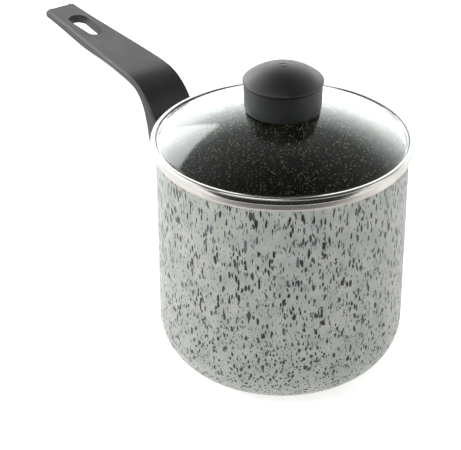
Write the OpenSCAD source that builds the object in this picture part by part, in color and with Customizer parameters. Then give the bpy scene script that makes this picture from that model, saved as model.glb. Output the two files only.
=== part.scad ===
// Deep saucepan with a long phenolic handle and a domed glass lid.
// Frame: origin at the centre of the pan's underside, +Z up, the handle
// points along -X. Millimetres.

/* [Pan] */
// Outside diameter of the pan wall, just under the rim
pan_d = 142.4; // [100:0.2:260]
// Height from the worktop to the top of the rim
pan_h = 137; // [70:1:200]
// Thickness of the pressed wall
wall_t = 2.4; // [1.5:0.1:5]
// Thickness of the floor
floor_t = 3.2; // [2:0.1:8]
// Outside radius where the floor turns up into the wall
base_r = 30; // [8:1:40]
// Lean of the wall, outwards going up, in degrees
wall_lean = 0.6; // [0:0.1:4]
// Height of the bare rim band
rim_h = 5; // [4:0.5:12]
// How far the rim band stands out from the wall
rim_step = 1.4; // [0.5:0.1:4]
// Thickness of the rim band
rim_t = 2.2; // [1.5:0.1:4]

/* [Lid] */
// How far the lid's ring reaches past the pan's rim
ring_over = 1.4; // [0.5:0.1:4]
// Width of the ring, seen from above
ring_w = 2.6; // [2:0.1:12]
// Height of the ring
ring_h = 4.1; // [3.5:0.1:8]
// Thickness of the ring's steel strip
ring_t = 0.5; // [0.3:0.1:1]
// Depth of the ring's skirt inside the rim
skirt_h = 3.4; // [2:0.1:6]
// Sideways play of the skirt inside the rim, each side
lid_play = 1; // [0.4:0.1:3]
// Rise of the glass above its ring
dome_h = 19.4; // [8:0.2:45]
// Diameter of the hole in the middle of the glass
glass_hole_d = 10; // [8:0.5:16]

/* [Knob] */
// Widest diameter of the knob, at the edge of its cap
knob_d = 45.4; // [28:0.2:60]
// Height of the knob's side, from the glass to the edge of the cap
knob_side_h = 20; // [16:0.1:40]
// Rise of the knob's domed top
knob_dome_h = 6.4; // [2.5:0.1:9]
// How much narrower the knob is at the glass
knob_taper = 2.8; // [0:0.1:6]
// Wall of the moulded knob
knob_wall = 3; // [2:0.1:5]

/* [Handle] */
// Length from the pan wall to the tip of the handle
handle_len = 171; // [130:1:230]
// Distance of the handle's screw below the rim top
screw_drop = 39; // [25:0.5:60]
// Rise of the grip's top face above the screw
handle_lift = 32.6; // [31:0.1:45]
// Extra rise of the tip
tip_rise = 4.2; // [0:0.1:20]
// Length of the root, from the pan wall to its outer face
root_len = 49.7; // [40:0.1:70]
// Height of the root
root_h = 17; // [15:0.5:22]
// Width of the root where it meets the pan
root_w = 25; // [20:0.5:34]
// Width of the grip
grip_w = 30.5; // [22:0.5:40]
// Width at the tip
tip_w = 20.6; // [19:0.2:34]
// Thickness of the grip at the bend
grip_t = 7.6; // [6:0.1:12]
// Thickness at the tip
tip_t = 4.8; // [4:0.1:10]
// Radius of the bend's top face
bend_top_r = 36; // [33:1:60]
// Radius of the bend's under face
bend_under_r = 22; // [15:1:26]
// Bevel along the edges of the grip
bevel = 1.3; // [0.5:0.1:2.5]
// Length of the hanging hole
hang_len = 31; // [18:0.5:40]
// Width of the hanging hole at the tip end
hang_w = 11.8; // [7:0.2:14]
// Distance from the tip to the hanging hole
hang_inset = 17; // [10:0.5:30]

/* [Fasteners] */
// Diameter of both screws
screw_d = 5; // [4:0.5:6]
// Diameter of the screw heads
head_d = 9.2; // [8:0.2:12]
// Height of the screw heads
head_h = 3; // [2:0.1:4]
// Clearance around the screws in plain holes, each side
screw_gap = 0.3; // [0.1:0.1:1]
// Stand-off of the handle from the pan wall
bracket_t = 5; // [3:0.5:10]
// Length of the bracket's spigot inside the handle
spigot_len = 13; // [8:0.5:20]
// Clearance around the bracket's spigot, each side
spigot_gap = 0.2; // [0.1:0.05:0.6]

/* [Hidden] */
$fn = 128;
e = 0.01;
big = 600;

// pan
pan_r = pan_d / 2;
rim_z = pan_h - rim_h;
rim_r = pan_r + rim_step;
rim_in_r = rim_r - rim_t;
rim_round = 0.8;
function wall_x(z) = pan_r - (rim_z - z) * tan(wall_lean);
function wall_in_x(z) = wall_x(z) - wall_t / cos(wall_lean);

// ring and glass
ring_r = rim_r + ring_over;
ring_in_r = ring_r - ring_w;
skirt_r = rim_in_r - lid_play;
ring_round = 1.3;
roll_x = ring_r - ring_round;
glass_t = ring_h - 2 * ring_t;
glass_z = pan_h + ring_t;
glass_top = glass_z + glass_t;
glass_edge_gap = 0.2;
glass_edge_x = ring_r - ring_t - glass_edge_gap - glass_t / 2;
dome_foot_r = ring_in_r - 0.6;
dome_r = (dome_foot_r * dome_foot_r + dome_h * dome_h) / (2 * dome_h);
dome_z = glass_top + dome_h - dome_r;
function glass_out_z(r) = dome_z + sqrt(dome_r * dome_r - r * r);
function glass_in_z(r) = dome_z + sqrt(pow(dome_r - glass_t, 2) - r * r);

// knob stack
knob_r = knob_d / 2;
knob_base_r = (knob_d - knob_taper) / 2;
knob_z = glass_out_z(knob_base_r - knob_wall) + 0.1;
knob_edge_round = 3;
knob_lip = 0.8;
seal_t = 1.8;
seal_under_r = 11;
seal_top_r = 8;
seal_top_z = glass_out_z(0) + 1.3;
seal_under_z = glass_in_z(seal_under_r) - seal_t;
cup_t = 1;
cup_r = 9;
insert_r = 4;
insert_len = 11;
boss_r = 7.5;
screw_r = screw_d / 2;
thread_gap = 0.05;
head_z = seal_under_z - cup_t;

// handle, measured from the pan wall at the height of its screw
screw_z = pan_h - screw_drop;
wall_u = wall_x(screw_z);
under_u = root_len + bend_under_r;
under_v = handle_lift - grip_t - bend_under_r;
top_v = handle_lift - bend_top_r;
root_fillet = 12;
fil_v = root_h / 2 + root_fillet;
fil_u = under_u - sqrt(pow(bend_top_r + root_fillet, 2) - pow(fil_v - top_v, 2));
tip_v = handle_lift + tip_rise;
function along(u) = (u - under_u) / (handle_len - under_u);
function face_v(u) = handle_lift + tip_rise * along(u);
function belly_v(u) = handle_lift - grip_t + (tip_rise + grip_t - tip_t) * along(u);
run_out = bevel * 0.75;
corner_r = 3.5;
tip_corner_r = 4;
tip_bow_r = 70;
waist_u = root_len + 42;
swell_u = root_len + 12;
well_depth = 20.5;
seat_u = root_len - well_depth;
washer_t = 1;
washer_r = 5;
well_r = 5.8;
pad_w = root_w - 2;
pad_h = root_h - 2;
spigot_w = 14;
spigot_h = 10;
thread_r = screw_r + thread_gap;

module spun() {
    rotate_extrude() children();
}

// Half section of the pan's outside or inside, up to the height top.
module pan_half(r, z0, top, x_at_z0_r, x_top) {
    cx = x_at_z0_r - r / cos(wall_lean);
    union() {
        polygon([[0, z0], [cx, z0], [cx, z0 + r],
                 [cx + r * cos(wall_lean), z0 + r - r * sin(wall_lean)],
                 [x_top, top], [0, top]]);
        intersection() {
            translate([cx, z0 + r]) circle(r);
            translate([0, z0]) square([big, 2 * r]);
        }
    }
}

module pan_outer_half() {
    pan_half(base_r, 0, rim_z, wall_x(base_r), wall_x(rim_z));
}

module rim_half() {
    step_z = rim_z + 1.6;
    difference() {
        union() {
            polygon([[0, rim_z - e], [wall_x(rim_z), rim_z - e], [wall_x(rim_z), rim_z],
                     [rim_r, step_z], [rim_r, pan_h - rim_round],
                     [rim_r - rim_round, pan_h - rim_round],
                     [rim_r - rim_round, pan_h], [0, pan_h]]);
            translate([rim_r - rim_round, pan_h - rim_round]) circle(rim_round);
        }
        polygon([[-1, rim_z - 2], [wall_in_x(rim_z - 2), rim_z - 2],
                 [wall_in_x(rim_z - 0.2), rim_z - 0.2], [rim_in_r, step_z - 0.1],
                 [rim_in_r, pan_h - 0.4], [rim_in_r + 0.4, pan_h + e], [-1, pan_h + e]]);
    }
}

module pan_body() {
    color([0.66, 0.67, 0.64])
    spun() {
        difference() {
            pan_outer_half();
            pan_half(base_r - wall_t, floor_t, rim_z + 1,
                     wall_in_x(floor_t + base_r - wall_t), wall_in_x(rim_z + 1));
        }
        rim_half();
    }
}

// Points along an arc, both ends included.
function arc(x, y, r, a0, a1, n = 20) =
    [for (i = [0 : n]) let (a = a0 + (a1 - a0) * i / n) [x + r * cos(a), y + r * sin(a)]];

// Side profile of the grip and root: u out from the wall, v up from the screw.
module handle_side() {
    low = -root_h / 2;
    turn = atan2(fil_v - top_v, fil_u - under_u);
    polygon(concat(
        [[handle_len, tip_v - tip_t], [handle_len, tip_v]],
        arc(under_u, top_v, bend_top_r, 90, turn),
        arc(fil_u, fil_v, root_fillet, turn - 180, -90, 8),
        [[bracket_t, root_h / 2], [bracket_t, low]],
        arc(root_len - corner_r, low + corner_r, corner_r, -90, 0, 8),
        arc(under_u, under_v, bend_under_r, 180, 90)));
}

module handle_plan() {
    tip_x = handle_len - tip_corner_r;
    intersection() {
        union() {
            polygon([[bracket_t, -root_w / 2], [swell_u, -grip_w / 2],
                     [waist_u, -grip_w / 2], [tip_x, -tip_w / 2],
                     [tip_x, tip_w / 2], [waist_u, grip_w / 2],
                     [swell_u, grip_w / 2], [bracket_t, root_w / 2]]);
            for (s = [-1, 1])
                translate([tip_x, s * (tip_w / 2 - tip_corner_r)]) circle(tip_corner_r);
            translate([tip_x, tip_corner_r - tip_w / 2])
                square([tip_corner_r, tip_w - 2 * tip_corner_r]);
        }
        // the end is a little bowed
        union() {
            translate([handle_len - tip_bow_r, 0]) circle(tip_bow_r);
            translate([0, -grip_w]) square([handle_len - tip_bow_r, 2 * grip_w]);
        }
    }
}

// Tapered slot with round ends, wider towards the tip.
module hang_hole() {
    r1 = hang_w / 2;
    r2 = r1 * 0.85;
    x1 = handle_len - hang_inset - r1;
    x2 = handle_len - hang_inset - hang_len + r2;
    a = acos((r1 - r2) / (x1 - x2));
    polygon(concat(arc(x1, 0, r1, -a, a, 32), arc(x2, 0, r2, a, 360 - a, 32)));
}

// Long bar on its edge, from one point to another, that cuts a bevel.
module edge_bar(p, q) {
    d = q - p;
    n = norm(d);
    translate(p)
        rotate([0, -asin(d[2] / n), atan2(d[1], d[0])])
            rotate([45, 0, 0])
                translate([-20, -bevel * 0.71, -bevel * 0.71])
                    cube([n + 20, bevel * 1.42, bevel * 1.42]);
}

// Place in the handle's own measure: u along -X from the wall, v up from the screw.
module on_wall() {
    translate([-wall_u, 0, screw_z]) rotate([0, 0, 180]) children();
}

module handle() {
    color([0.13, 0.13, 0.14])
    on_wall() difference() {
        intersection() {
            rotate([90, 0, 0]) linear_extrude(height = max(root_w, grip_w) + 2, center = true) handle_side();
            translate([0, 0, -big / 2]) linear_extrude(height = big) handle_plan();
        }
        translate([0, 0, -big / 2]) linear_extrude(height = big) hang_hole();
        // grip edges; each bevel runs out towards the bend
        for (s = [-1, 1]) {
            edge_bar([handle_len, s * tip_w / 2, tip_v],
                     [waist_u, s * (grip_w / 2 + run_out), face_v(waist_u) + run_out]);
            edge_bar([handle_len, s * tip_w / 2, tip_v - tip_t],
                     [waist_u, s * (grip_w / 2 + run_out), belly_v(waist_u) - run_out]);
        }
        // pocket for the bracket, screw hole and well for the screw's head
        translate([bracket_t - e, -spigot_w / 2 - spigot_gap, -spigot_h / 2 - spigot_gap])
            cube([spigot_len + 0.5 + e, spigot_w + 2 * spigot_gap, spigot_h + 2 * spigot_gap]);
        rotate([0, 90, 0]) cylinder(r = screw_r + screw_gap, h = root_len);
        translate([seat_u, 0, 0]) rotate([0, 90, 0]) cylinder(r = well_r, h = root_len);
    }
}

module handle_bracket() {
    color([0.72, 0.73, 0.74])
    difference() {
        on_wall() difference() {
            union() {
                translate([-6, -pad_w / 2, -pad_h / 2]) cube([6 + bracket_t, pad_w, pad_h]);
                translate([0, -spigot_w / 2, -spigot_h / 2])
                    cube([bracket_t + spigot_len, spigot_w, spigot_h]);
            }
            rotate([0, 90, 0]) translate([0, 0, 2])
                cylinder(r = thread_r, h = bracket_t + spigot_len);
        }
        spun() pan_outer_half();
    }
}

module head_profile() {
    // domed head standing on z = 0, going up
    intersection() {
        translate([0, head_h - head_d]) circle(head_d);
        square([head_d / 2, head_h]);
    }
}

module cross_slot() {
    for (a = [0, 90]) rotate([0, 0, a])
        translate([-0.55, -2.4, head_h - 1.6]) cube([1.1, 4.8, 3]);
}

module handle_screw() {
    len = seat_u + washer_t - 4;
    color([0.78, 0.78, 0.76])
    on_wall() translate([seat_u + washer_t, 0, 0]) rotate([0, 90, 0])
    difference() {
        spun() union() {
            head_profile();
            translate([0, -len]) square([screw_r, len + e]);
        }
        cross_slot();
    }
}

module handle_washer() {
    color([0.7, 0.7, 0.7])
    on_wall() translate([seat_u, 0, 0]) rotate([0, 90, 0])
    difference() {
        cylinder(r = washer_r, h = washer_t);
        translate([0, 0, -1]) cylinder(r = screw_r + screw_gap, h = washer_t + 2);
        // split, as on a spring washer
        translate([0, -0.4, -1]) cube([washer_r + 1, 0.8, washer_t + 2]);
    }
}

module lid_glass() {
    color([0.8, 0.88, 0.85, 0.35])
    spun() intersection() {
        difference() {
            union() {
                intersection() {
                    translate([0, dome_z]) circle(dome_r);
                    translate([0, glass_top - e]) square([dome_foot_r, big]);
                }
                translate([0, glass_z]) square([glass_edge_x, glass_t]);
                translate([glass_edge_x, glass_z + glass_t / 2]) circle(glass_t / 2);
            }
            translate([0, dome_z]) circle(dome_r - glass_t);
        }
        translate([glass_hole_d / 2, glass_z - 1]) square([big, big]);
    }
}

// Half section of the ring's closed outer edge, drawn in by inset.
module ring_edge(inset) {
    r = ring_round - inset;
    tall = ring_h - 2 * ring_round;
    translate([roll_x, pan_h + ring_round]) {
        circle(r);
        translate([0, tall]) circle(r);
        square([r, tall]);
        translate([-r, 0]) square([r, tall]);
    }
}

module lid_ring() {
    color([0.82, 0.82, 0.82])
    spun() union() {
        // rolled outer edge
        intersection() {
            difference() {
                ring_edge(0);
                ring_edge(ring_t);
            }
            translate([roll_x - e, pan_h - 1]) square([big, ring_h + 2]);
        }
        // top and bottom flanges
        translate([ring_in_r, pan_h + ring_h - ring_t]) square([roll_x - ring_in_r, ring_t]);
        translate([skirt_r - ring_t, pan_h]) square([roll_x - skirt_r + ring_t, ring_t]);
        // skirt, with its hemmed foot
        translate([skirt_r - ring_t, pan_h - skirt_h + ring_t])
            square([ring_t, skirt_h - ring_t + e]);
        translate([skirt_r - ring_t, pan_h - skirt_h + ring_t]) circle(ring_t);
    }
}

module knob_half() {
    cap_z = knob_z + knob_side_h;
    top_r = knob_r - knob_edge_round;
    crown_r = (top_r * top_r + knob_dome_h * knob_dome_h) / (2 * knob_dome_h);
    union() {
        polygon([[0, knob_z], [knob_base_r, knob_z], [knob_r - knob_lip - 0.2, knob_z + 5],
                 [knob_r - knob_lip, cap_z - knob_edge_round - 1],
                 [knob_r - knob_lip, cap_z - knob_edge_round], [0, cap_z - knob_edge_round]]);
        translate([0, cap_z - knob_edge_round - e]) square([top_r, knob_edge_round + e]);
        translate([top_r, cap_z - knob_edge_round]) circle(knob_edge_round);
        // crown
        intersection() {
            translate([0, cap_z + knob_dome_h - crown_r]) circle(crown_r);
            translate([0, cap_z - e]) square([top_r, big]);
        }
    }
}

module knob() {
    cap_z = knob_z + knob_side_h;
    hollow_top = cap_z - 1.2;
    color([0.12, 0.12, 0.13])
    difference() {
        union() {
            difference() {
                spun() intersection() {
                    knob_half();
                    square([big, big]);
                }
                spun() polygon([[0, knob_z - 1], [knob_base_r - knob_wall, knob_z - 1],
                                [knob_r - knob_wall - 1.2, hollow_top - 2],
                                [knob_r - knob_wall - 3.2, hollow_top], [0, hollow_top]]);
            }
            translate([0, 0, seal_top_z])
                cylinder(r = boss_r, h = hollow_top + e - seal_top_z);
            intersection() {
                for (a = [0 : 60 : 300]) rotate([0, 0, a])
                    translate([boss_r - 1, -1, knob_z + 5])
                        cube([knob_base_r - boss_r - knob_wall / 2, 2, hollow_top + e - knob_z - 5]);
                translate([0, 0, knob_z]) cylinder(r = knob_base_r - 0.5, h = knob_side_h);
            }
        }
        translate([0, 0, seal_top_z - 1]) cylinder(r = insert_r, h = insert_len + 1);
        translate([0, 0, seal_top_z]) cylinder(r = screw_r + screw_gap, h = insert_len + 1.5);
    }
}

module knob_insert() {
    color([0.75, 0.6, 0.3])
    spun() difference() {
        translate([thread_r, seal_top_z]) square([insert_r - thread_r, insert_len]);
        // two holding grooves
        for (z = [3.2, 7])
            translate([insert_r - 0.4, seal_top_z + z]) square([1, 1.2]);
    }
}

module knob_screw() {
    len = seal_top_z + insert_len - 1 - head_z;
    color([0.8, 0.8, 0.8])
    translate([0, 0, head_z]) rotate([180, 0, 0])
    difference() {
        spun() union() {
            head_profile();
            translate([0, -len]) square([screw_r, len + e]);
        }
        cross_slot();
    }
}

module cup_washer() {
    color([0.8, 0.8, 0.8])
    spun() difference() {
        union() {
            translate([screw_r + screw_gap, seal_under_z - cup_t])
                square([cup_r - screw_r - screw_gap, cup_t]);
            translate([cup_r, seal_under_z - cup_t / 2]) circle(cup_t / 2);
        }
    }
}

module seal_under() {
    color([0.9, 0.9, 0.88])
    spun() union() {
        intersection() {
            translate([screw_r + screw_gap, seal_under_z])
                square([seal_under_r - screw_r - screw_gap, big]);
            translate([0, dome_z]) circle(dome_r - glass_t, $fn = 720);
        }
        translate([screw_r + screw_gap, seal_under_z])
            square([glass_hole_d / 2 - 0.2 - screw_r - screw_gap,
                    glass_out_z(0) - 0.6 - seal_under_z]);
    }
}

module seal_top() {
    color([0.9, 0.9, 0.88])
    spun() difference() {
        translate([screw_r + screw_gap, dome_z])
            square([seal_top_r - screw_r - screw_gap, seal_top_z - dome_z]);
        translate([0, dome_z]) circle(dome_r, $fn = 720);
    }
}

pan_body();
handle_bracket();
handle();
handle_screw();
handle_washer();
lid_glass();
lid_ring();
knob();
knob_insert();
knob_screw();
cup_washer();
seal_under();
seal_top();
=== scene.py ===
import bpy
import bmesh
import math
from mathutils import Matrix, Vector


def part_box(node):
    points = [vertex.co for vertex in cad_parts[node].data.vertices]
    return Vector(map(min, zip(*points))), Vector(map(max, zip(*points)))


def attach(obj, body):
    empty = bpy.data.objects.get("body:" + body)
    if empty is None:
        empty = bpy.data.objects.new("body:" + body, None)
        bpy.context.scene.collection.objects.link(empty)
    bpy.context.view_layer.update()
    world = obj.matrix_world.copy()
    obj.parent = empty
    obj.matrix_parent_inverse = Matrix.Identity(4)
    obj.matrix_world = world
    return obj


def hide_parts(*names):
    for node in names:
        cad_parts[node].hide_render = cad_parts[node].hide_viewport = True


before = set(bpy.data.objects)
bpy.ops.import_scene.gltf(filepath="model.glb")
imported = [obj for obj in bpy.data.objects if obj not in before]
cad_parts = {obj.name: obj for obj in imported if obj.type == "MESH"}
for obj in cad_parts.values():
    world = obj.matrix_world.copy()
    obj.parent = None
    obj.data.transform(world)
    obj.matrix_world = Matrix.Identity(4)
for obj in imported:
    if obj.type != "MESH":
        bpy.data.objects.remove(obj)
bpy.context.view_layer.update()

MM = 0.001          # the helpers take millimetres and the meshes are in metres
ROUND_STEPS = 192   # flats round each turned piece


# ------------------------------------------------------------------ helpers

def low(node, axis):
    """Lowest place of a CAD node along X, Y or Z, in millimetres."""
    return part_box(node)[0]["xyz".index(axis)] / MM


def high(node, axis):
    """Highest place of a CAD node along X, Y or Z, in millimetres."""
    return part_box(node)[1]["xyz".index(axis)] / MM


def per(size):
    """How often a pattern of a size in millimetres repeats in a metre."""
    return 1 / (size * MM)


def arc(x, z, r, start, stop, n):
    """Points on an arc of radius r round (x, z), from one angle in degrees to another."""
    turn = [math.radians(start + (stop - start) * i / n) for i in range(n + 1)]
    return [(x + r * math.cos(t), z + r * math.sin(t)) for t in turn]


def turned(section):
    """Spins a closed half section round the Z axis, as on a lathe. A corner is (radius, height)
    or (radius, height, rounding, flats), all in millimetres."""
    bm = bmesh.new()
    corners = [bm.verts.new((p[0] * MM, 0, p[1] * MM)) for p in section]
    bm.faces.new(corners)
    for v, p in zip(corners, section):
        if len(p) > 2:
            arms = [e.other_vert(v).co - v.co for e in v.link_edges]
            reach = p[2] * MM * math.tan((math.pi - arms[0].angle(arms[1])) / 2)
            bmesh.ops.bevel(bm, geom=[v], offset=reach, offset_type="OFFSET", segments=p[3],
                            profile=0.5, affect="VERTICES", material=-1, clamp_overlap=False)
    bmesh.ops.delete(bm, geom=bm.faces[:], context="FACES_ONLY")
    on_axis = [e for e in bm.edges if all(v.co.x < 1e-7 for v in e.verts)]
    bmesh.ops.delete(bm, geom=on_axis, context="EDGES")
    bmesh.ops.spin(bm, geom=bm.verts[:] + bm.edges[:], cent=(0, 0, 0), axis=(0, 0, 1),
                   angle=2 * math.pi, steps=ROUND_STEPS, use_merge=True)
    bmesh.ops.remove_doubles(bm, verts=bm.verts[:], dist=1e-6)
    bmesh.ops.recalc_face_normals(bm, faces=bm.faces[:])
    return bm


def shade(bm, crease):
    """Smooth shading, but sharp where faces turn by more than crease degrees."""
    for f in bm.faces:
        f.smooth = True
    for e in bm.edges:
        e.smooth = e.is_manifold and e.calc_face_angle() < math.radians(crease)


def made(name, bm, finishes=()):
    """The object of a finished bmesh."""
    mesh = bpy.data.meshes.new(name)
    for finish in finishes:
        mesh.materials.append(finish)
    bm.to_mesh(mesh)
    bm.free()
    obj = bpy.data.objects.new(name, mesh)
    bpy.context.scene.collection.objects.link(obj)
    return obj


def piece(name, bm, body, finishes, crease, finish_of=None):
    """A piece that rides on a body. finish_of(face) picks one of several finishes."""
    shade(bm, crease)
    if finish_of:
        for f in bm.faces:
            f.material_index = finishes.index(finish_of(f))
    obj = made(name, bm, finishes)
    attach(obj, body)
    return obj


def refinish(node, finish):
    """Gives a CAD node that keeps its shape a better finish."""
    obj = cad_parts[node]
    obj.data.materials.clear()
    obj.data.materials.append(finish)


# ------------------------------------------------------------------ finishes

def hue(code):
    """An sRGB hex colour as linear numbers."""
    parts = [int(code[i:i + 2], 16) / 255 for i in (1, 3, 5)]
    line = [c / 12.92 if c <= 0.04045 else ((c + 0.055) / 1.055) ** 2.4 for c in parts]
    return (*line, 1.0)


def add(mat, kind, inputs=None, stops=None, **settings):
    """Adds one node: settings are its properties, and inputs gives each socket a value or
    another node's socket. stops are (place, colour) on a colour ramp."""
    node = mat.node_tree.nodes.new("ShaderNode" + kind)
    for name, value in settings.items():
        setattr(node, name, value)
    for name, value in (inputs or {}).items():
        if isinstance(value, bpy.types.NodeSocket):
            mat.node_tree.links.new(value, node.inputs[name])
        else:
            node.inputs[name].default_value = value
    for i, (place, colour) in enumerate(stops or []):
        points = node.color_ramp.elements
        point = points[i] if i < len(points) else points.new(place)
        point.position = place
        point.color = colour
    return node


def grey(level):
    return (level, level, level, 1.0)


def finish_base(name, **sockets):
    """A material with a Principled shader, its output and the object's own coordinates."""
    mat = bpy.data.materials.new(name)
    mat.use_nodes = True
    mat.node_tree.nodes.clear()
    place = add(mat, "TexCoord").outputs["Object"]
    skin = add(mat, "BsdfPrincipled", {k.replace("_", " "): v for k, v in sockets.items()})
    add(mat, "OutputMaterial", {"Surface": skin.outputs["BSDF"]})
    return mat, skin, place


def link(mat, source, target):
    mat.node_tree.links.new(source, target)


def drops(mat, place, cell, size_from, size_to, soft=0.05):
    """Drops of paint, one at most in each cell of a 3-D pattern. Gives how much a drop covers
    the point, and a random colour that is the same all over one drop."""
    cells = add(mat, "TexVoronoi", {"Vector": place, "Scale": cell, "Randomness": 1.0},
                feature="F1", voronoi_dimensions="3D")
    chance = add(mat, "SeparateColor", {"Color": cells.outputs["Color"]})
    size = add(mat, "MapRange", {"Value": chance.outputs["Red"], "To Min": size_from,
                                 "To Max": size_to})
    inside = add(mat, "Math", {0: size.outputs["Result"], 1: cells.outputs["Distance"]},
                 operation="SUBTRACT")
    cover = add(mat, "MapRange", {"Value": inside.outputs[0], "From Min": -soft,
                                  "From Max": soft}, interpolation_type="SMOOTHSTEP")
    return cover.outputs["Result"], chance


def drawn_out(mat, place, width, bend, ragged):
    """Coordinates in drop cells: a cell is width millimetres across and grows taller going up,
    from 1.9 mm at the base to 5.6 mm at the rim, as on a blank that is coated flat and then
    drawn deep. bend slants the drops and ragged breaks their outlines."""
    below, stretch = 69, 36.5    # a cell at height z is (below + z) / stretch millimetres tall
    part = add(mat, "SeparateXYZ", {"Vector": place})
    rise = add(mat, "Math", {0: part.outputs["Z"], 1: per(below), 2: 1.0},
               operation="MULTIPLY_ADD")
    log = add(mat, "Math", {0: rise.outputs[0], 1: math.e}, operation="LOGARITHM")
    tall = add(mat, "Math", {0: log.outputs[0], 1: stretch}, operation="MULTIPLY")
    across = [add(mat, "Math", {0: part.outputs[k], 1: per(width)}, operation="MULTIPLY")
              for k in "XY"]
    cell = add(mat, "CombineXYZ", {"X": across[0].outputs[0], "Y": across[1].outputs[0],
                                   "Z": tall.outputs[0]})
    wander = add(mat, "TexNoise", {"Vector": cell.outputs[0], "Scale": 0.35, "Detail": 1.0})
    rough = add(mat, "TexNoise", {"Vector": cell.outputs[0], "Scale": 1.6, "Detail": 2.0})
    sway = add(mat, "VectorMath", {0: wander.outputs["Color"], 1: (bend, bend, bend * 0.4),
                                   2: cell.outputs[0]}, operation="MULTIPLY_ADD")
    tear = add(mat, "VectorMath", {0: rough.outputs["Color"], 1: (ragged, ragged, ragged),
                                   2: sway.outputs[0]}, operation="MULTIPLY_ADD")
    return tear.outputs[0]


def stone_coating():
    """Stone-effect silicone coating, sprayed on the blank in light grey and flicked with black
    while wet: satin, a little pebbled, with drawn-out dark drops that sit just proud."""
    mat, skin, place = finish_base("stone_effect_coating", Roughness=0.42, IOR=1.47)
    cell = drawn_out(mat, place, 1.42, 2.2, 0.45)
    big, pick = drops(mat, cell, 1.0, -0.23, 0.62, 0.035)
    small, faint = drops(mat, cell, 1.9, -0.55, 0.55, 0.10)
    # the grey is clouded, 9 mm from cloud to cloud
    mottle = add(mat, "TexNoise", {"Vector": place, "Scale": 110.0, "Detail": 3.0})
    ground = add(mat, "ValToRGB", {"Fac": mottle.outputs["Fac"]},
                 [(0.32, hue("#969A95")), (0.52, hue("#A1A49F")), (0.70, hue("#ABADA6"))])
    faint_ink = add(mat, "ValToRGB", {"Fac": faint.outputs["Green"]},
                    [(0.0, hue("#3A3D3D")), (0.6, hue("#6A6E6C"))])
    first = add(mat, "Mix", {0: small, 6: ground.outputs[0], 7: faint_ink.outputs[0]},
                data_type="RGBA")
    ink = add(mat, "ValToRGB", {"Fac": pick.outputs["Green"]},
              [(0.0, hue("#141716")), (0.55, hue("#212523")), (0.80, hue("#3C403E")),
               (0.93, hue("#525866"))])
    second = add(mat, "Mix", {0: big, 6: first.outputs[2], 7: ink.outputs[0]}, data_type="RGBA")
    link(mat, second.outputs[2], skin.inputs["Base Color"])
    # pebbling of a sprayed coat, 0.7 mm from bump to bump, drawn twice as coarse as real
    pebble = add(mat, "TexNoise", {"Vector": place, "Scale": per(1.4), "Detail": 2.0})
    relief = add(mat, "Math", {0: big, 1: 0.7, 2: pebble.outputs["Fac"]}, operation="MULTIPLY_ADD")
    bump = add(mat, "Bump", {"Height": relief.outputs[0], "Strength": 0.22, "Distance": 0.05 * MM})
    link(mat, bump.outputs[0], skin.inputs["Normal"])
    gloss = add(mat, "ValToRGB", {"Fac": pebble.outputs["Fac"]},
                [(0.3, grey(0.36)), (0.7, grey(0.47))])
    link(mat, gloss.outputs[0], skin.inputs["Roughness"])
    return mat


def flecked_lining():
    """Non-stick PTFE lining, near black with beige and gold flecks of mineral filler rolled
    into it: satin, and smoother than the outside."""
    mat, skin, place = finish_base("flecked_nonstick_lining", Roughness=0.34, IOR=1.38)
    tear = add(mat, "TexNoise", {"Vector": place, "Scale": per(0.8), "Detail": 1.0})
    torn = add(mat, "VectorMath", {0: tear.outputs["Color"], 1: (0.7 * MM,) * 3, 2: place},
               operation="MULTIPLY_ADD")
    # flecks up to 1.1 mm across, in about two of three cells of 1 mm, and finer dust between
    fleck, pick = drops(mat, torn.outputs[0], per(1.0), -0.25, 0.55, 0.06)
    dust, _ = drops(mat, torn.outputs[0], per(0.7), -0.55, 0.45, 0.10)
    tone = add(mat, "ValToRGB", {"Fac": pick.outputs["Blue"]},
               [(0.0, hue("#747268")), (0.5, hue("#9E9B8A")), (0.9, hue("#C0B088"))])
    # the ground is hazed, 11 mm from cloud to cloud
    haze = add(mat, "TexNoise", {"Vector": place, "Scale": 90.0, "Detail": 2.0})
    ground = add(mat, "ValToRGB", {"Fac": haze.outputs["Fac"]},
                 [(0.35, hue("#171813")), (0.65, hue("#22231C"))])
    first = add(mat, "Mix", {0: dust, 6: ground.outputs[0], 7: hue("#55533F")}, data_type="RGBA")
    second = add(mat, "Mix", {0: fleck, 6: first.outputs[2], 7: tone.outputs[0]}, data_type="RGBA")
    link(mat, second.outputs[2], skin.inputs["Base Color"])
    grain = add(mat, "TexNoise", {"Vector": place, "Scale": per(1.0), "Detail": 2.0})
    bump = add(mat, "Bump", {"Height": grain.outputs["Fac"], "Strength": 0.15,
                             "Distance": 0.04 * MM})
    link(mat, bump.outputs[0], skin.inputs["Normal"])
    gloss = add(mat, "ValToRGB", {"Fac": grain.outputs["Fac"]},
                [(0.3, grey(0.30)), (0.7, grey(0.40))])
    link(mat, gloss.outputs[0], skin.inputs["Roughness"])
    return mat


def lathe_lines(mat, place, pitch, tall):
    """Tool lines of a piece turned round the Z axis: rings pitch millimetres apart, seen on
    flat faces as circles and on walls as level lines. tall is how much the height counts."""
    part = add(mat, "SeparateXYZ", {"Vector": place})
    flat = add(mat, "CombineXYZ", {"X": part.outputs["X"], "Y": part.outputs["Y"]})
    radius = add(mat, "VectorMath", {0: flat.outputs[0]}, operation="LENGTH")
    path = add(mat, "Math", {0: part.outputs["Z"], 1: tall, 2: radius.outputs["Value"]},
               operation="MULTIPLY_ADD")
    line = add(mat, "CombineXYZ", {"X": path.outputs[0]})
    return add(mat, "TexNoise", {"Vector": line.outputs[0], "Scale": per(pitch),
                                 "Detail": 3.0, "Roughness": 0.6}).outputs["Fac"]


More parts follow.
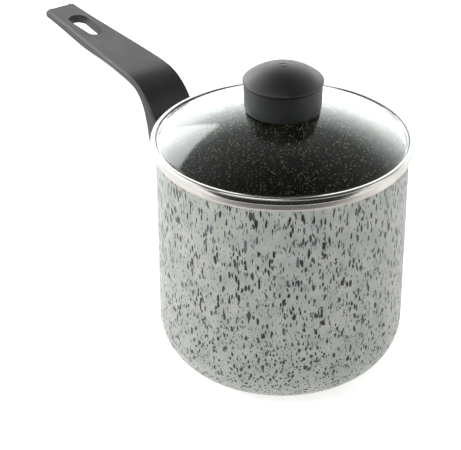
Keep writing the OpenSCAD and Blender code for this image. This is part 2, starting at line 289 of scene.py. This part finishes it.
def bright_turned_metal(name, dark, light, rough_from, rough_to, pitch, depth, tall=1.0):
    """A metal turned or spun on a lathe. The lines are finer than a picture can show, so pitch
    draws them as coarse as it needs."""
    mat, skin, place = finish_base(name, Metallic=1.0)
    lines = lathe_lines(mat, place, pitch, tall)
    # handling dulls it in clouds, 17 mm apart
    cloud = add(mat, "TexNoise", {"Vector": place, "Scale": 60.0, "Detail": 2.0})
    both = add(mat, "Math", {0: lines, 1: cloud.outputs["Fac"]}, operation="MULTIPLY")
    tone = add(mat, "ValToRGB", {"Fac": both.outputs[0]}, [(0.12, hue(dark)), (0.40, hue(light))])
    link(mat, tone.outputs[0], skin.inputs["Base Color"])
    gloss = add(mat, "ValToRGB", {"Fac": both.outputs[0]},
                [(0.12, grey(rough_to)), (0.40, grey(rough_from))])
    link(mat, gloss.outputs[0], skin.inputs["Roughness"])
    bump = add(mat, "Bump", {"Height": lines, "Strength": depth, "Distance": 0.02 * MM})
    link(mat, bump.outputs[0], skin.inputs["Normal"])
    return mat


def moulded_phenolic(name, dark, middle, light, rough):
    """Phenolic resin with wood-flour filler, hot moulded in a spark-eroded tool: black, fine
    grained and half matt, so that it turns grey where it faces a light."""
    mat, skin, place = finish_base(name, IOR=1.6)
    # the tool's grain is 0.1 mm, drawn at 0.6 mm
    grain = add(mat, "TexNoise", {"Vector": place, "Scale": per(0.6), "Detail": 3.0})
    flow = add(mat, "TexNoise", {"Vector": place, "Scale": per(14), "Detail": 3.0,
                                 "Distortion": 0.8})
    tone = add(mat, "ValToRGB", {"Fac": flow.outputs["Fac"]},
               [(0.30, hue(dark)), (0.55, hue(middle)), (0.75, hue(light))])
    link(mat, tone.outputs[0], skin.inputs["Base Color"])
    both = add(mat, "Math", {0: grain.outputs["Fac"], 1: flow.outputs["Fac"]}, operation="ADD")
    gloss = add(mat, "MapRange", {"Value": both.outputs[0], "From Min": 0.6, "From Max": 1.4,
                                  "To Min": rough, "To Max": rough + 0.16})
    link(mat, gloss.outputs["Result"], skin.inputs["Roughness"])
    bump = add(mat, "Bump", {"Height": grain.outputs["Fac"], "Strength": 0.25,
                             "Distance": 0.05 * MM})
    link(mat, bump.outputs[0], skin.inputs["Normal"])
    return mat


def tempered_glass():
    """Soda-lime glass, pressed to a dome and tempered: clear, faintly green through its length,
    with a trace of wiping haze."""
    mat, skin, place = finish_base("tempered_glass", Base_Color=hue("#F6FCF9"), IOR=1.52,
                                   Transmission_Weight=1.0)
    haze = add(mat, "TexNoise", {"Vector": place, "Scale": per(40), "Detail": 4.0})
    wipe = add(mat, "ValToRGB", {"Fac": haze.outputs["Fac"]},
               [(0.45, grey(0.0)), (0.75, grey(0.05))])
    link(mat, wipe.outputs[0], skin.inputs["Roughness"])
    # lamps shine through the glass, so that the lining is lit
    ray = add(mat, "LightPath")
    through = add(mat, "BsdfTransparent", {"Color": hue("#EAF2EE")})
    mixed = add(mat, "MixShader", {0: ray.outputs["Is Shadow Ray"], 1: skin.outputs["BSDF"],
                                   2: through.outputs["BSDF"]})
    out = next(n for n in mat.node_tree.nodes if n.type == "OUTPUT_MATERIAL")
    link(mat, mixed.outputs[0], out.inputs["Surface"])
    green = add(mat, "VolumeAbsorption", {"Color": hue("#C9EBDD"), "Density": 22.0})
    link(mat, green.outputs[0], out.inputs["Volume"])
    return mat


def moulded_silicone():
    """Translucent silicone rubber, moulded: milky, soft edged, a little dusty."""
    mat, skin, place = finish_base("moulded_silicone", IOR=1.41, Subsurface_Weight=0.4,
                                   Subsurface_Radius=(0.002, 0.002, 0.0018))
    cloud = add(mat, "TexNoise", {"Vector": place, "Scale": per(3), "Detail": 2.0})
    tone = add(mat, "ValToRGB", {"Fac": cloud.outputs["Fac"]},
               [(0.3, hue("#CFCFC8")), (0.7, hue("#DEDED8"))])
    link(mat, tone.outputs[0], skin.inputs["Base Color"])
    gloss = add(mat, "ValToRGB", {"Fac": cloud.outputs["Fac"]},
                [(0.3, grey(0.45)), (0.7, grey(0.6))])
    link(mat, gloss.outputs[0], skin.inputs["Roughness"])
    return mat


coating = stone_coating()
lining = flecked_lining()
phenolic = moulded_phenolic("moulded_phenolic", "#0F0F11", "#151517", "#1C1C1E", 0.42)
# the chamfer along the grip's top edges gets a pale and matt phenolic: a painted highlight along
# the bevel
painted_highlight_edge = moulded_phenolic("phenolic_painted_highlight_edge", "#3A3A3B", "#4E4E4F", "#69696A", 0.50)
glass = tempered_glass()
silicone = moulded_silicone()
# aluminium rim turned bare after coating: warm satin, level tool lines
bare_rim = bright_turned_metal("turned_aluminium_rim", "#C4BEB8", "#DDD9D4", 0.34, 0.46, 0.5, 0.25)
# aluminium underside faced on a lathe: grey satin, clear rings
faced_base = bright_turned_metal("faced_aluminium_base", "#A9A9A7", "#C6C6C3", 0.28, 0.42, 0.9, 0.6)
# stainless strip, bright rolled and roll-formed: near mirror with faint drawing lines
strip = bright_turned_metal("bright_rolled_stainless", "#B9B8B5", "#D0CFCC", 0.12, 0.22, 0.4, 0.05)
# zinc-plated steel screws and washers: satin, slightly cold
plated = bright_turned_metal("zinc_plated_steel", "#A6A8A8", "#C9CBCC", 0.22, 0.36, 0.35, 0.2)
# cast aluminium boss, linished: dull and even
cast = bright_turned_metal("linished_cast_aluminium", "#A4A6A8", "#BFC1C2", 0.40, 0.55, 0.6, 0.3)
# free-cutting brass, turned
brass = bright_turned_metal("turned_brass", "#B08A3E", "#D2AE5C", 0.20, 0.32, 0.35, 0.2)


# ------------------------------------------------------------------ pan

pan_h = high("pan_body", "z")
rim_r = high("pan_body", "x")
rim_step = 1.4                   # how far the bare rim stands out past the coated wall
rim_h = 5
rim_t = 2.2
wall_r = rim_r - rim_step        # wall just under the bare rim
rim_z = pan_h - rim_h            # where the coating ends and the bare rim starts
rim_in_r = rim_r - rim_t
floor_t = 3.2
wall_t = 2.4
lean = math.tan(math.radians(0.6))
base_round = 30
faced_r = 39                     # the underside is faced bare inside this radius


def wall_at(z):
    return wall_r - (rim_z - z) * lean


def pan():
    section = [(0, 0.3), (3, 0.3), (3.4, 0), (faced_r - 1.2, 0), (faced_r - 0.9, 0.25),
               (faced_r - 0.3, 0.25), (faced_r, 0),
               (wall_at(0), 0, base_round, 28),
               (wall_r, rim_z, 0.6, 3), (rim_r, rim_z + 1.6, 0.6, 3),
               (rim_r, pan_h, 0.8, 5), (rim_in_r, pan_h, 0.5, 4),
               (rim_in_r, rim_z + 1.5, 0.5, 3), (wall_at(rim_z) - wall_t, rim_z - 0.2, 0.6, 3),
               (wall_at(floor_t) - wall_t, floor_t, base_round - wall_t, 28), (0, floor_t)]

    def finish_of(face):
        at = face.calc_center_median() / MM
        r = math.hypot(at.x, at.y)
        if at.z > rim_z - 0.1:
            return bare_rim
        if at.z < 0.4 and r < faced_r:
            return faced_base
        within = at.z > floor_t / 2 and r < wall_at(at.z) - wall_t / 2
        return lining if within and (at.z > base_round or face.normal.z > 0) else coating

    obj = piece("pan_body_pressed", turned(section), "pan",
                [coating, lining, bare_rim, faced_base], 30, finish_of)
    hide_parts("pan_body")


pan()


# ------------------------------------------------------------------ lid

ring_r = high("lid_ring", "x")
ring_top = high("lid_ring", "z")
ring_t = 0.5
ring_round = 1.3                 # corners of the ring's outer edge
foot_round = 0.5                 # corner where the ring sits on the pan
roll_x = ring_r - ring_round
ring_w = 2.6
ring_in_r = ring_r - ring_w
lid_gap = 1                      # between the ring's skirt and the pan's rim
skirt_r = rim_in_r - lid_gap
hem_z = low("lid_ring", "z") + ring_t
glass_z = pan_h + ring_t
glass_top = ring_top - ring_t
glass_t = glass_top - glass_z


def ring():
    """Steel strip wrapped round the edge of the glass: a rolled outside, a narrow lip on top
    of the glass and a hemmed skirt that drops inside the pan's rim."""
    skirt_in = skirt_r - ring_t
    top_z, foot_z = ring_top - ring_round, pan_h + ring_round
    section = [(ring_in_r, ring_top, 0.22, 3)]
    section += arc(roll_x, top_z, ring_round, 90, 0, 8)
    section += arc(ring_r - foot_round, pan_h + foot_round, foot_round, 0, -90, 6)
    section += [(skirt_r, pan_h, 0.5, 3), (skirt_r, hem_z)]
    section += arc(skirt_in, hem_z, ring_t, 0, -180, 10)[1:]
    section += [(skirt_in - ring_t, hem_z + 0.7, 0.2, 2), (skirt_in, hem_z + 0.75)]
    section += [(skirt_in, pan_h + ring_t, 0.9, 3)]
    section += arc(roll_x, foot_z, ring_round - ring_t, -90, 0, 6)
    section += arc(roll_x, top_z, ring_round - ring_t, 0, 90, 6)
    section += [(ring_in_r, ring_top - ring_t, 0.22, 3)]
    obj = piece("lid_ring_rolled", turned(section), "lid", [strip], 60)
    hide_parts("lid_ring")


def glass_lid():
    """Domed glass with a flat rim for the ring and a hole for the knob's screw."""
    hole_r, foot_r, edge_r = 5, ring_in_r - 0.6, glass_t / 2
    # the dome would go on rising over the hole, so its full rise is worked out from the edge
    at_hole = high("lid_glass", "z") - glass_top
    rise = at_hole * (1 + hole_r ** 2 / (foot_r ** 2 + at_hole ** 2))
    crown = (foot_r ** 2 + rise ** 2) / (2 * rise)
    centre = glass_top + rise - crown
    bowl = crown - glass_t
    out_foot = math.degrees(math.acos(foot_r / crown))
    out_hole = math.degrees(math.acos(hole_r / crown))
    in_hole = math.degrees(math.acos(hole_r / bowl))
    in_foot = math.degrees(math.asin((glass_z - centre) / bowl))
    section = arc(0, centre, crown, out_hole, out_foot, 40)
    section += arc(ring_r - ring_t - 0.2 - edge_r, glass_z + edge_r, edge_r, 90, -90, 12)
    section += arc(0, centre, bowl, in_foot, in_hole, 40)
    obj = piece("lid_glass_domed", turned(section), "lid", [glass], 50)
    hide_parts("lid_glass")


ring()
glass_lid()


# ------------------------------------------------------------------ knob

knob_r = high("knob", "x")
knob_z = low("knob", "z")
knob_top = high("knob", "z")
dome_h = 6.4
crown_h = 9.44
skin_t = 1.2
lip_round = 1.3
lip_z = knob_top - crown_h       # widest place, at the foot of the crown
hollow_z = knob_top - dome_h - skin_t
boss_z = low("knob_insert", "z")
insert_r = high("knob_insert", "x")
insert_top = high("knob_insert", "z")
boss_r = 7.5


def knob():
    """Hollow moulded knob: a domed crown inside a round lip, sides that draw in to the glass,
    a boss for the brass insert and six ribs."""
    lip_x = knob_r - lip_round
    # the crown is part of a ball and runs into the lip without a step
    drop = knob_top - lip_z - lip_round
    crown_r = (lip_x ** 2 + drop ** 2) / (2 * drop) + lip_round
    foot = math.degrees(math.acos(lip_x / (crown_r - lip_round)))
    # a small round moulding mark, the crown, the lip, the side, the foot, the hollow, the boss
    section = [(0, knob_top - 0.15), (2.1, knob_top - 0.22), (2.35, knob_top - 0.36),
               (2.6, knob_top - 0.13)]
    section += arc(0, knob_top - crown_r, crown_r, 84, foot, 16)
    section += arc(lip_x, lip_z, lip_round, foot, -42, 10)[1:]
    section += [(knob_r - 0.7, lip_z - 1.3, 0.3, 3), (knob_r - 0.9, knob_z + 6, 20, 4),
                (knob_r - 1.4, knob_z, 0.6, 4), (knob_r - 4.4, knob_z, 0.5, 3),
                (knob_r - 4.2, hollow_z - 2, 1, 3), (knob_r - 6.2, hollow_z, 1, 3),
                (boss_r, hollow_z, 0.8, 3), (boss_r, boss_z, 0.4, 3), (insert_r, boss_z),
                (insert_r, insert_top), (2.8, insert_top), (2.8, insert_top + 1.5),
                (0, insert_top + 1.5)]
    bm = turned(section)
    rib_t = 1.6
    rib_from, rib_to = boss_r - 0.5, knob_r - 3.9
    rib_foot, rib_head = knob_z + 5, hollow_z + 0.3
    for k in range(6):
        rib = bmesh.ops.create_cube(bm, size=1)["verts"]
        bmesh.ops.scale(bm, verts=rib, vec=((rib_to - rib_from) * MM, rib_t * MM,
                                            (rib_head - rib_foot) * MM))
        bmesh.ops.translate(bm, verts=rib, vec=((rib_from + rib_to) / 2 * MM, 0,
                                                (rib_head + rib_foot) / 2 * MM))
        bmesh.ops.rotate(bm, verts=rib, cent=(0, 0, 0),
                         matrix=Matrix.Rotation(k * math.pi / 3, 3, "Z"))
    obj = piece("knob_moulded", bm, "lid", [phenolic], 28)
    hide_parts("knob")


knob()


# ------------------------------------------------------------------ handle

stand_off = 5                    # bracket between the pan's wall and the handle's root
wall_x = -high("handle", "x") - stand_off
screw_z = (low("handle_washer", "z") + high("handle_washer", "z")) / 2
tip_u = -low("handle", "x") - wall_x
root_v = 8.5                     # half the root's height
tip_v = high("handle", "z") - screw_z
tip_rise = 4.2                   # how much the grip climbs from the bend to the tip
lift_v = tip_v - tip_rise
bend_u = 71.7                    # where the grip starts to run straight
root_u = 49.7                    # outer face of the root
tip_t = 4.8
grip_t = 7.6
hole_far = tip_u - 17            # the hanging hole's two ends and their radii
hole_near = hole_far - 31
hole_far_r = 5.9
hole_near_r = 5.0
seat_u = 29.2                    # the screw's washer sits here, at the bottom of its well

UPRIGHT, TOP, UNDER, SLOPE = range(4)    # the faces round the handle


def spread(points, n):
    """n + 1 points at equal distances along a line of points."""
    steps = [math.dist(a, b) for a, b in zip(points, points[1:])]
    total = sum(steps)
    out = []
    for i in range(n + 1):
        left = total * i / n
        for (a, b), step in zip(zip(points, points[1:]), steps):
            if left <= step + 1e-9:
                t = left / step
                out.append((a[0] + (b[0] - a[0]) * t, a[1] + (b[1] - a[1]) * t))
                break
            left -= step
        else:
            out.append(points[-1])
    return out


def eased(line):
    """The same line with its turns run into one another."""
    for _ in range(40):
        line = [line[0]] + [tuple(a / 4 + b / 2 + c / 4 for a, b, c in zip(*near))
                            for near in zip(line, line[1:], line[2:])] + [line[-1]]
    return line


def outlines():
    """Top and under side of the handle, as pairs of points (u out from the wall, v up from
    the screw), from the pan to the tip."""
    top_r, under_r, inner_r, corner = 36, 22, 12, 3.5
    top_c = lift_v - top_r
    inner_v = root_v + inner_r
    inner_u = bend_u - math.sqrt((top_r + inner_r) ** 2 - (inner_v - top_c) ** 2)
    turn = math.degrees(math.atan2(inner_v - top_c, inner_u - bend_u))
    over = arc(inner_u, inner_v, inner_r, -90, turn - 180, 10)
    over += arc(bend_u, top_c, top_r, turn, 90, 40)[1:]
    under = [(inner_u, -root_v)] + arc(root_u - corner, corner - root_v, corner, -90, 0, 8)
    under += arc(bend_u, lift_v - grip_t - under_r, under_r, 180, 90, 40)
    root_steps, bend_steps, grip_steps = 3, 54, 36
    top = spread([(stand_off, root_v), (inner_u, root_v)], root_steps)[:-1] \
        + spread(over, bend_steps)[:-1] + spread([(bend_u, lift_v), (tip_u, tip_v)], grip_steps)
    low_side = spread([(stand_off, -root_v), (inner_u, -root_v)], root_steps)[:-1] \
        + spread(under, bend_steps)[:-1] \
        + spread([(bend_u, lift_v - grip_t), (tip_u, tip_v - tip_t)], grip_steps)
    return eased(top), eased(low_side)


def ease(x):
    x = min(1.0, max(0.0, x))
    return x * x * (3 - 2 * x)


def half_width(u):
    """Half the width of the top face: it swells from the root to the bend and then narrows
    towards the tip."""
    swell_u, swell_long = 66, 40
    tip_half, tip_gain = 10.3, 4.95
    root_half, root_gain = 13.6, 1.65
    t = min(1.0, (tip_u - u) / (tip_u - swell_u))
    from_tip = tip_half + tip_gain * (0.75 * ease(t) + 0.25 * t)
    return min(from_tip, root_half + root_gain * ease((u - stand_off) / swell_long))


def in_bend(u):
    """1 in the bend, where the sides slope, falling to 0 towards the tip and at the wall."""
    return ease((130 - u) / 42) * ease((u - stand_off) / 55)


def draw_in(u):
    """How much narrower the under side is, each side: little at the tip and at the wall, and
    most in the bend, where the sides slope."""
    return 0.4 + 3.1 * in_bend(u)


def edge_share(u):
    """How much of the thickness the upright part of the side takes, under the top face."""
    return 0.85 - 0.5 * in_bend(u)


def handle_body():
    """The solid handle, before its holes: a grid over its length and width, thickened and then
    laid on the two outlines, with the edges bevelled. The outermost row of the under side is
    lifted to make the sloping sides."""
    top, under = outlines()
    along, across = len(top) - 1, 8
    edge, inner_row = 0.99, 1 - 2 / across
    bm = bmesh.new()
    bmesh.ops.create_grid(bm, x_segments=along, y_segments=across, size=1)
    bmesh.ops.solidify(bm, geom=bm.faces[:], thickness=1)
    level = sum(v.co.z for v in bm.verts) / len(bm.verts)
    side = bm.faces.layers.int.new("side")
    for f in bm.faces:
        heights = {v.co.z > level for v in f.verts}
        if len(heights) == 1:
            outer = sum(abs(v.co.y) > edge for v in f.verts) > 1
            f[side] = TOP if True in heights else (SLOPE if outer else UNDER)
    tip_posts = [e for e in bm.edges
                 if all(v.co.x > edge and abs(v.co.y) > edge for v in e.verts)]
    root_end = {v for v in bm.verts if v.co.x < -edge}
    for v in bm.verts:
        k = round((v.co.x + 1) / 2 * along)
        (u, w), (low_u, low_w) = top[k], under[k]
        half = half_width(u)
        if v.co.z > level:
            y = v.co.y * half
        elif abs(v.co.y) > edge:
            y, share = v.co.y * half, edge_share(u)
            u, w = u + (low_u - u) * share, w + (low_w - w) * share
        else:
            y = v.co.y / inner_row * (half - draw_in(u))
            u, w = low_u, low_w
        v.co = Vector((-(wall_x + u), y, screw_z + w)) * MM
    bmesh.ops.bevel(bm, geom=tip_posts, offset=4 * MM, offset_type="OFFSET", segments=10,
                    profile=0.5, affect="EDGES", material=-1)
    bow_long, bow_flat = 8, 140
    for v in bm.verts:           # the end is a little bowed
        near = max(0.0, 1 - (v.co.x / MM + wall_x + tip_u) / bow_long)
        v.co.x += near * (v.co.y / MM) ** 2 / bow_flat * MM
    # the top edges get a flat chamfer and the others are rounded
    for chosen, wide in (({UPRIGHT, TOP}, 1.2), ({UPRIGHT, SLOPE}, 0.4), ({UNDER, SLOPE}, 1.2)):
        rim = [e for e in bm.edges if e.is_manifold and {f[side] for f in e.link_faces} == chosen
               and not all(v in root_end for v in e.verts)]
        bmesh.ops.bevel(bm, geom=rim, offset=wide * MM, offset_type="OFFSET",
                        segments=1 if TOP in chosen else 3, profile=0.5, affect="EDGES",
                        material=-1, clamp_overlap=TOP not in chosen)
    bmesh.ops.recalc_face_normals(bm, faces=bm.faces[:])
    return bm


def cutter(bm):
    bmesh.ops.recalc_face_normals(bm, faces=bm.faces[:])
    return made("cutter", bm)


def hole_slot():
    """Tapered slot with round ends, as the hull of two upright pegs."""
    bm = bmesh.new()
    for r, u in ((hole_far_r, hole_far - hole_far_r), (hole_near_r, hole_near + hole_near_r)):
        peg = bmesh.ops.create_cone(bm, cap_ends=True, segments=64, radius1=r * MM,
                                    radius2=r * MM, depth=60 * MM)["verts"]
        bmesh.ops.translate(bm, verts=peg, vec=Vector((-(wall_x + u), 0, screw_z + 30)) * MM)
    hull = bmesh.ops.convex_hull(bm, input=bm.verts[:])
    spare = [g for g in hull["geom_interior"] + hull["geom_unused"] if g.is_valid]
    spare = [g for g in spare if isinstance(g, bmesh.types.BMVert)]
    bmesh.ops.delete(bm, geom=spare, context="VERTS")
    bmesh.ops.dissolve_limit(bm, angle_limit=0.001, verts=bm.verts[:], edges=bm.edges[:])
    return cutter(bm)


def bore(r, u_from, u_to):
    """A hole along the handle's screw."""
    bm = bmesh.new()
    rod = bmesh.ops.create_cone(bm, cap_ends=True, segments=48, radius1=r * MM, radius2=r * MM,
                                depth=(u_to - u_from) * MM)["verts"]
    bmesh.ops.rotate(bm, verts=rod, cent=(0, 0, 0), matrix=Matrix.Rotation(math.pi / 2, 3, "Y"))
    bmesh.ops.translate(bm, verts=rod,
                        vec=Vector((-(wall_x + (u_from + u_to) / 2), 0, screw_z)) * MM)
    return cutter(bm)


def pocket():
    """The square pocket that takes the bracket's spigot."""
    deep, wide, tall, over = 13.5, 14.4, 10.4, 1
    mid_u = stand_off + (deep - over) / 2
    bm = bmesh.new()
    block = bmesh.ops.create_cube(bm, size=1)["verts"]
    bmesh.ops.scale(bm, verts=block, vec=Vector((deep + over, wide, tall)) * MM)
    bmesh.ops.translate(bm, verts=block, vec=Vector((-(wall_x + mid_u), 0, screw_z)) * MM)
    return cutter(bm)


def highlight_or_moulded(face):
    """The chamfer along the top edges, from 28 mm out, gets a paler finish that is a painted
    highlight, and the rest is as moulded.
    """
    up_and_in = Vector((0.7, 0, 0.7))
    slanted = 0.4 < abs(face.normal.y) < 0.9 and face.normal.dot(up_and_in) > 0.25
    out_along = face.calc_center_median().x < -(wall_x + 28) * MM
    return painted_highlight_edge if slanted and out_along else phenolic


def handle():
    crease = 30
    # the paler finish on the chamfer is a painted highlight
    obj = piece("handle_moulded", handle_body(), "pan", [phenolic, painted_highlight_edge],
                crease, highlight_or_moulded)
    for tool in (hole_slot(), pocket(), bore(2.8, 10, 40), bore(5.8, seat_u, 60)):
        cut = obj.modifiers.new("cut", "BOOLEAN")
        cut.operation, cut.object, cut.solver = "DIFFERENCE", tool, "EXACT"
        bpy.context.view_layer.update()
        worked_out = obj.evaluated_get(bpy.context.evaluated_depsgraph_get())
        shape = bpy.data.meshes.new_from_object(worked_out)
        obj.modifiers.clear()
        obj.data = shape
        bpy.data.objects.remove(tool)
    bm = bmesh.new()
    bm.from_mesh(obj.data)
    bmesh.ops.remove_doubles(bm, verts=bm.verts[:], dist=1e-6)
    # round the two mouths of the hanging hole
    spare = 0.6
    hole_from, hole_to = -(wall_x + hole_far + spare) * MM, -(wall_x + hole_near - spare) * MM
    mouth = []
    for e in bm.edges:
        mid = (e.verts[0].co + e.verts[1].co) / 2
        if e.is_manifold and e.calc_face_angle() > math.radians(60) \
                and hole_from < mid.x < hole_to and abs(mid.y) < (hole_far_r + 0.5) * MM:
            mouth.append(e)
    bmesh.ops.bevel(bm, geom=mouth, offset=0.8 * MM, offset_type="OFFSET", segments=4,
                    profile=0.5, affect="EDGES", material=-1, clamp_overlap=True)
    shade(bm, crease)
    bm.to_mesh(obj.data)
    bm.free()
    even = obj.modifiers.new("even_shading", "WEIGHTED_NORMAL")
    even.keep_sharp = True
    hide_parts("handle")


handle()

for node, finish in (("handle_bracket", cast), ("handle_screw", plated), ("handle_washer", plated),
                     ("knob_insert", brass), ("knob_screw", plated), ("cup_washer", plated),
                     ("seal_under", silicone), ("seal_top", silicone)):
    refinish(node, finish)


# ------------------------------------------------------------------ studio

VIEW_AZIMUTH = 55
VIEW_ELEVATION = 29.09
VIEW_DISTANCE = 1.26


def floor():
    bm = bmesh.new()
    bmesh.ops.create_grid(bm, x_segments=1, y_segments=1, size=6)
    white = finish_base("white_sweep", Base_Color=hue("#F2F2F0"), Roughness=0.9,
                        Emission_Color=hue("#FFFFFF"), Emission_Strength=0.62)[0]
    obj = made("floor", bm, [white])


def card(name, at, size, colour):
    """A card lying on the floor outside the view, that only the reflections show."""
    bm = bmesh.new()
    bmesh.ops.create_grid(bm, x_segments=1, y_segments=1, size=0.5)
    bmesh.ops.scale(bm, verts=bm.verts[:], vec=(size[0], size[1], 1))
    bmesh.ops.rotate(bm, verts=bm.verts[:], cent=(0, 0, 0),
                     matrix=Matrix.Rotation(math.radians(VIEW_AZIMUTH), 3, "Z"))
    bmesh.ops.translate(bm, verts=bm.verts[:], vec=at)
    obj = made(name, bm, [finish_base(name, Base_Color=hue(colour), Roughness=0.9)[0]])
    obj.visible_camera = obj.visible_diffuse = obj.visible_shadow = False


def towards(azimuth, elevation):
    """A direction from the object: azimuth 0 is -Y, 90 is +X, as the camera's is given."""
    a, e = math.radians(azimuth), math.radians(elevation)
    return Vector((math.sin(a) * math.cos(e), -math.cos(a) * math.cos(e), math.sin(e)))


def softbox(name, azimuth, elevation, distance, size, watts):
    lamp = bpy.data.lights.new(name, "AREA")
    lamp.shape = "RECTANGLE"
    lamp.size, lamp.size_y = size
    lamp.energy = watts
    obj = bpy.data.objects.new(name, lamp)
    aim = towards(azimuth, elevation)
    obj.location = aim * distance + Vector((0, 0, 0.12))
    obj.rotation_euler = aim.to_track_quat("Z", "Y").to_euler()
    obj.visible_camera = False
    bpy.context.scene.collection.objects.link(obj)


def camera():
    lens = bpy.data.cameras.new("camera")
    lens.lens = 171.8
    lens.sensor_width = 36
    obj = bpy.data.objects.new("camera", lens)
    aim = Vector((-0.0167, -0.0239, 0.0844))
    back = towards(VIEW_AZIMUTH, VIEW_ELEVATION)
    obj.location = aim + back * VIEW_DISTANCE
    obj.rotation_euler = back.to_track_quat("Z", "Y").to_euler()
    bpy.context.scene.collection.objects.link(obj)
    bpy.context.scene.camera = obj


def sky():
    """A white room: a broad bright wall behind the object, a dimmer one in front and a dark
    ceiling, all fading into one another."""
    world = bpy.data.worlds.new("white_room")
    world.use_nodes = True
    world.node_tree.nodes.clear()
    way = add(world, "TexCoord").outputs["Generated"]
    up = add(world, "SeparateXYZ", {"Vector": way}).outputs["Z"]
    height = add(world, "ValToRGB", {"Fac": up},
                 [(0.0, grey(1.0)), (0.30, grey(1.0)), (0.46, grey(0.62)), (0.66, grey(0.16)),
                  (1.0, grey(0.03))])
    facing = add(world, "VectorMath", {0: way, 1: towards(250, 0)}, operation="DOT_PRODUCT")
    wall = add(world, "MapRange", {"Value": facing.outputs["Value"], "From Min": -0.4,
                                   "From Max": 0.9, "To Min": 0.35, "To Max": 3.4},
               interpolation_type="SMOOTHSTEP")
    back = add(world, "Background", {"Color": height.outputs[0], "Strength": wall.outputs[0]})
    add(world, "OutputWorld", {"Surface": back.outputs[0]})
    bpy.context.scene.world = world


floor()
card("dark_flag", towards(VIEW_AZIMUTH, 0) * 0.57 + Vector((0, 0, 0.001)), (1.1, 0.8), "#0A0A0B")
camera()
sky()
# azimuths are in the camera's measure: 55 is in front, 145 to the right, 235 behind, 325 left
softbox("back_left", 296, 26, 1.7, (2.4, 0.9), 16)
softbox("front_fill", 25, 46, 1.9, (1.6, 1.2), 11)
softbox("right_side", 140, 25, 1.8, (0.8, 1.0), 4)

scene = bpy.context.scene
scene.view_settings.view_transform = "Standard"
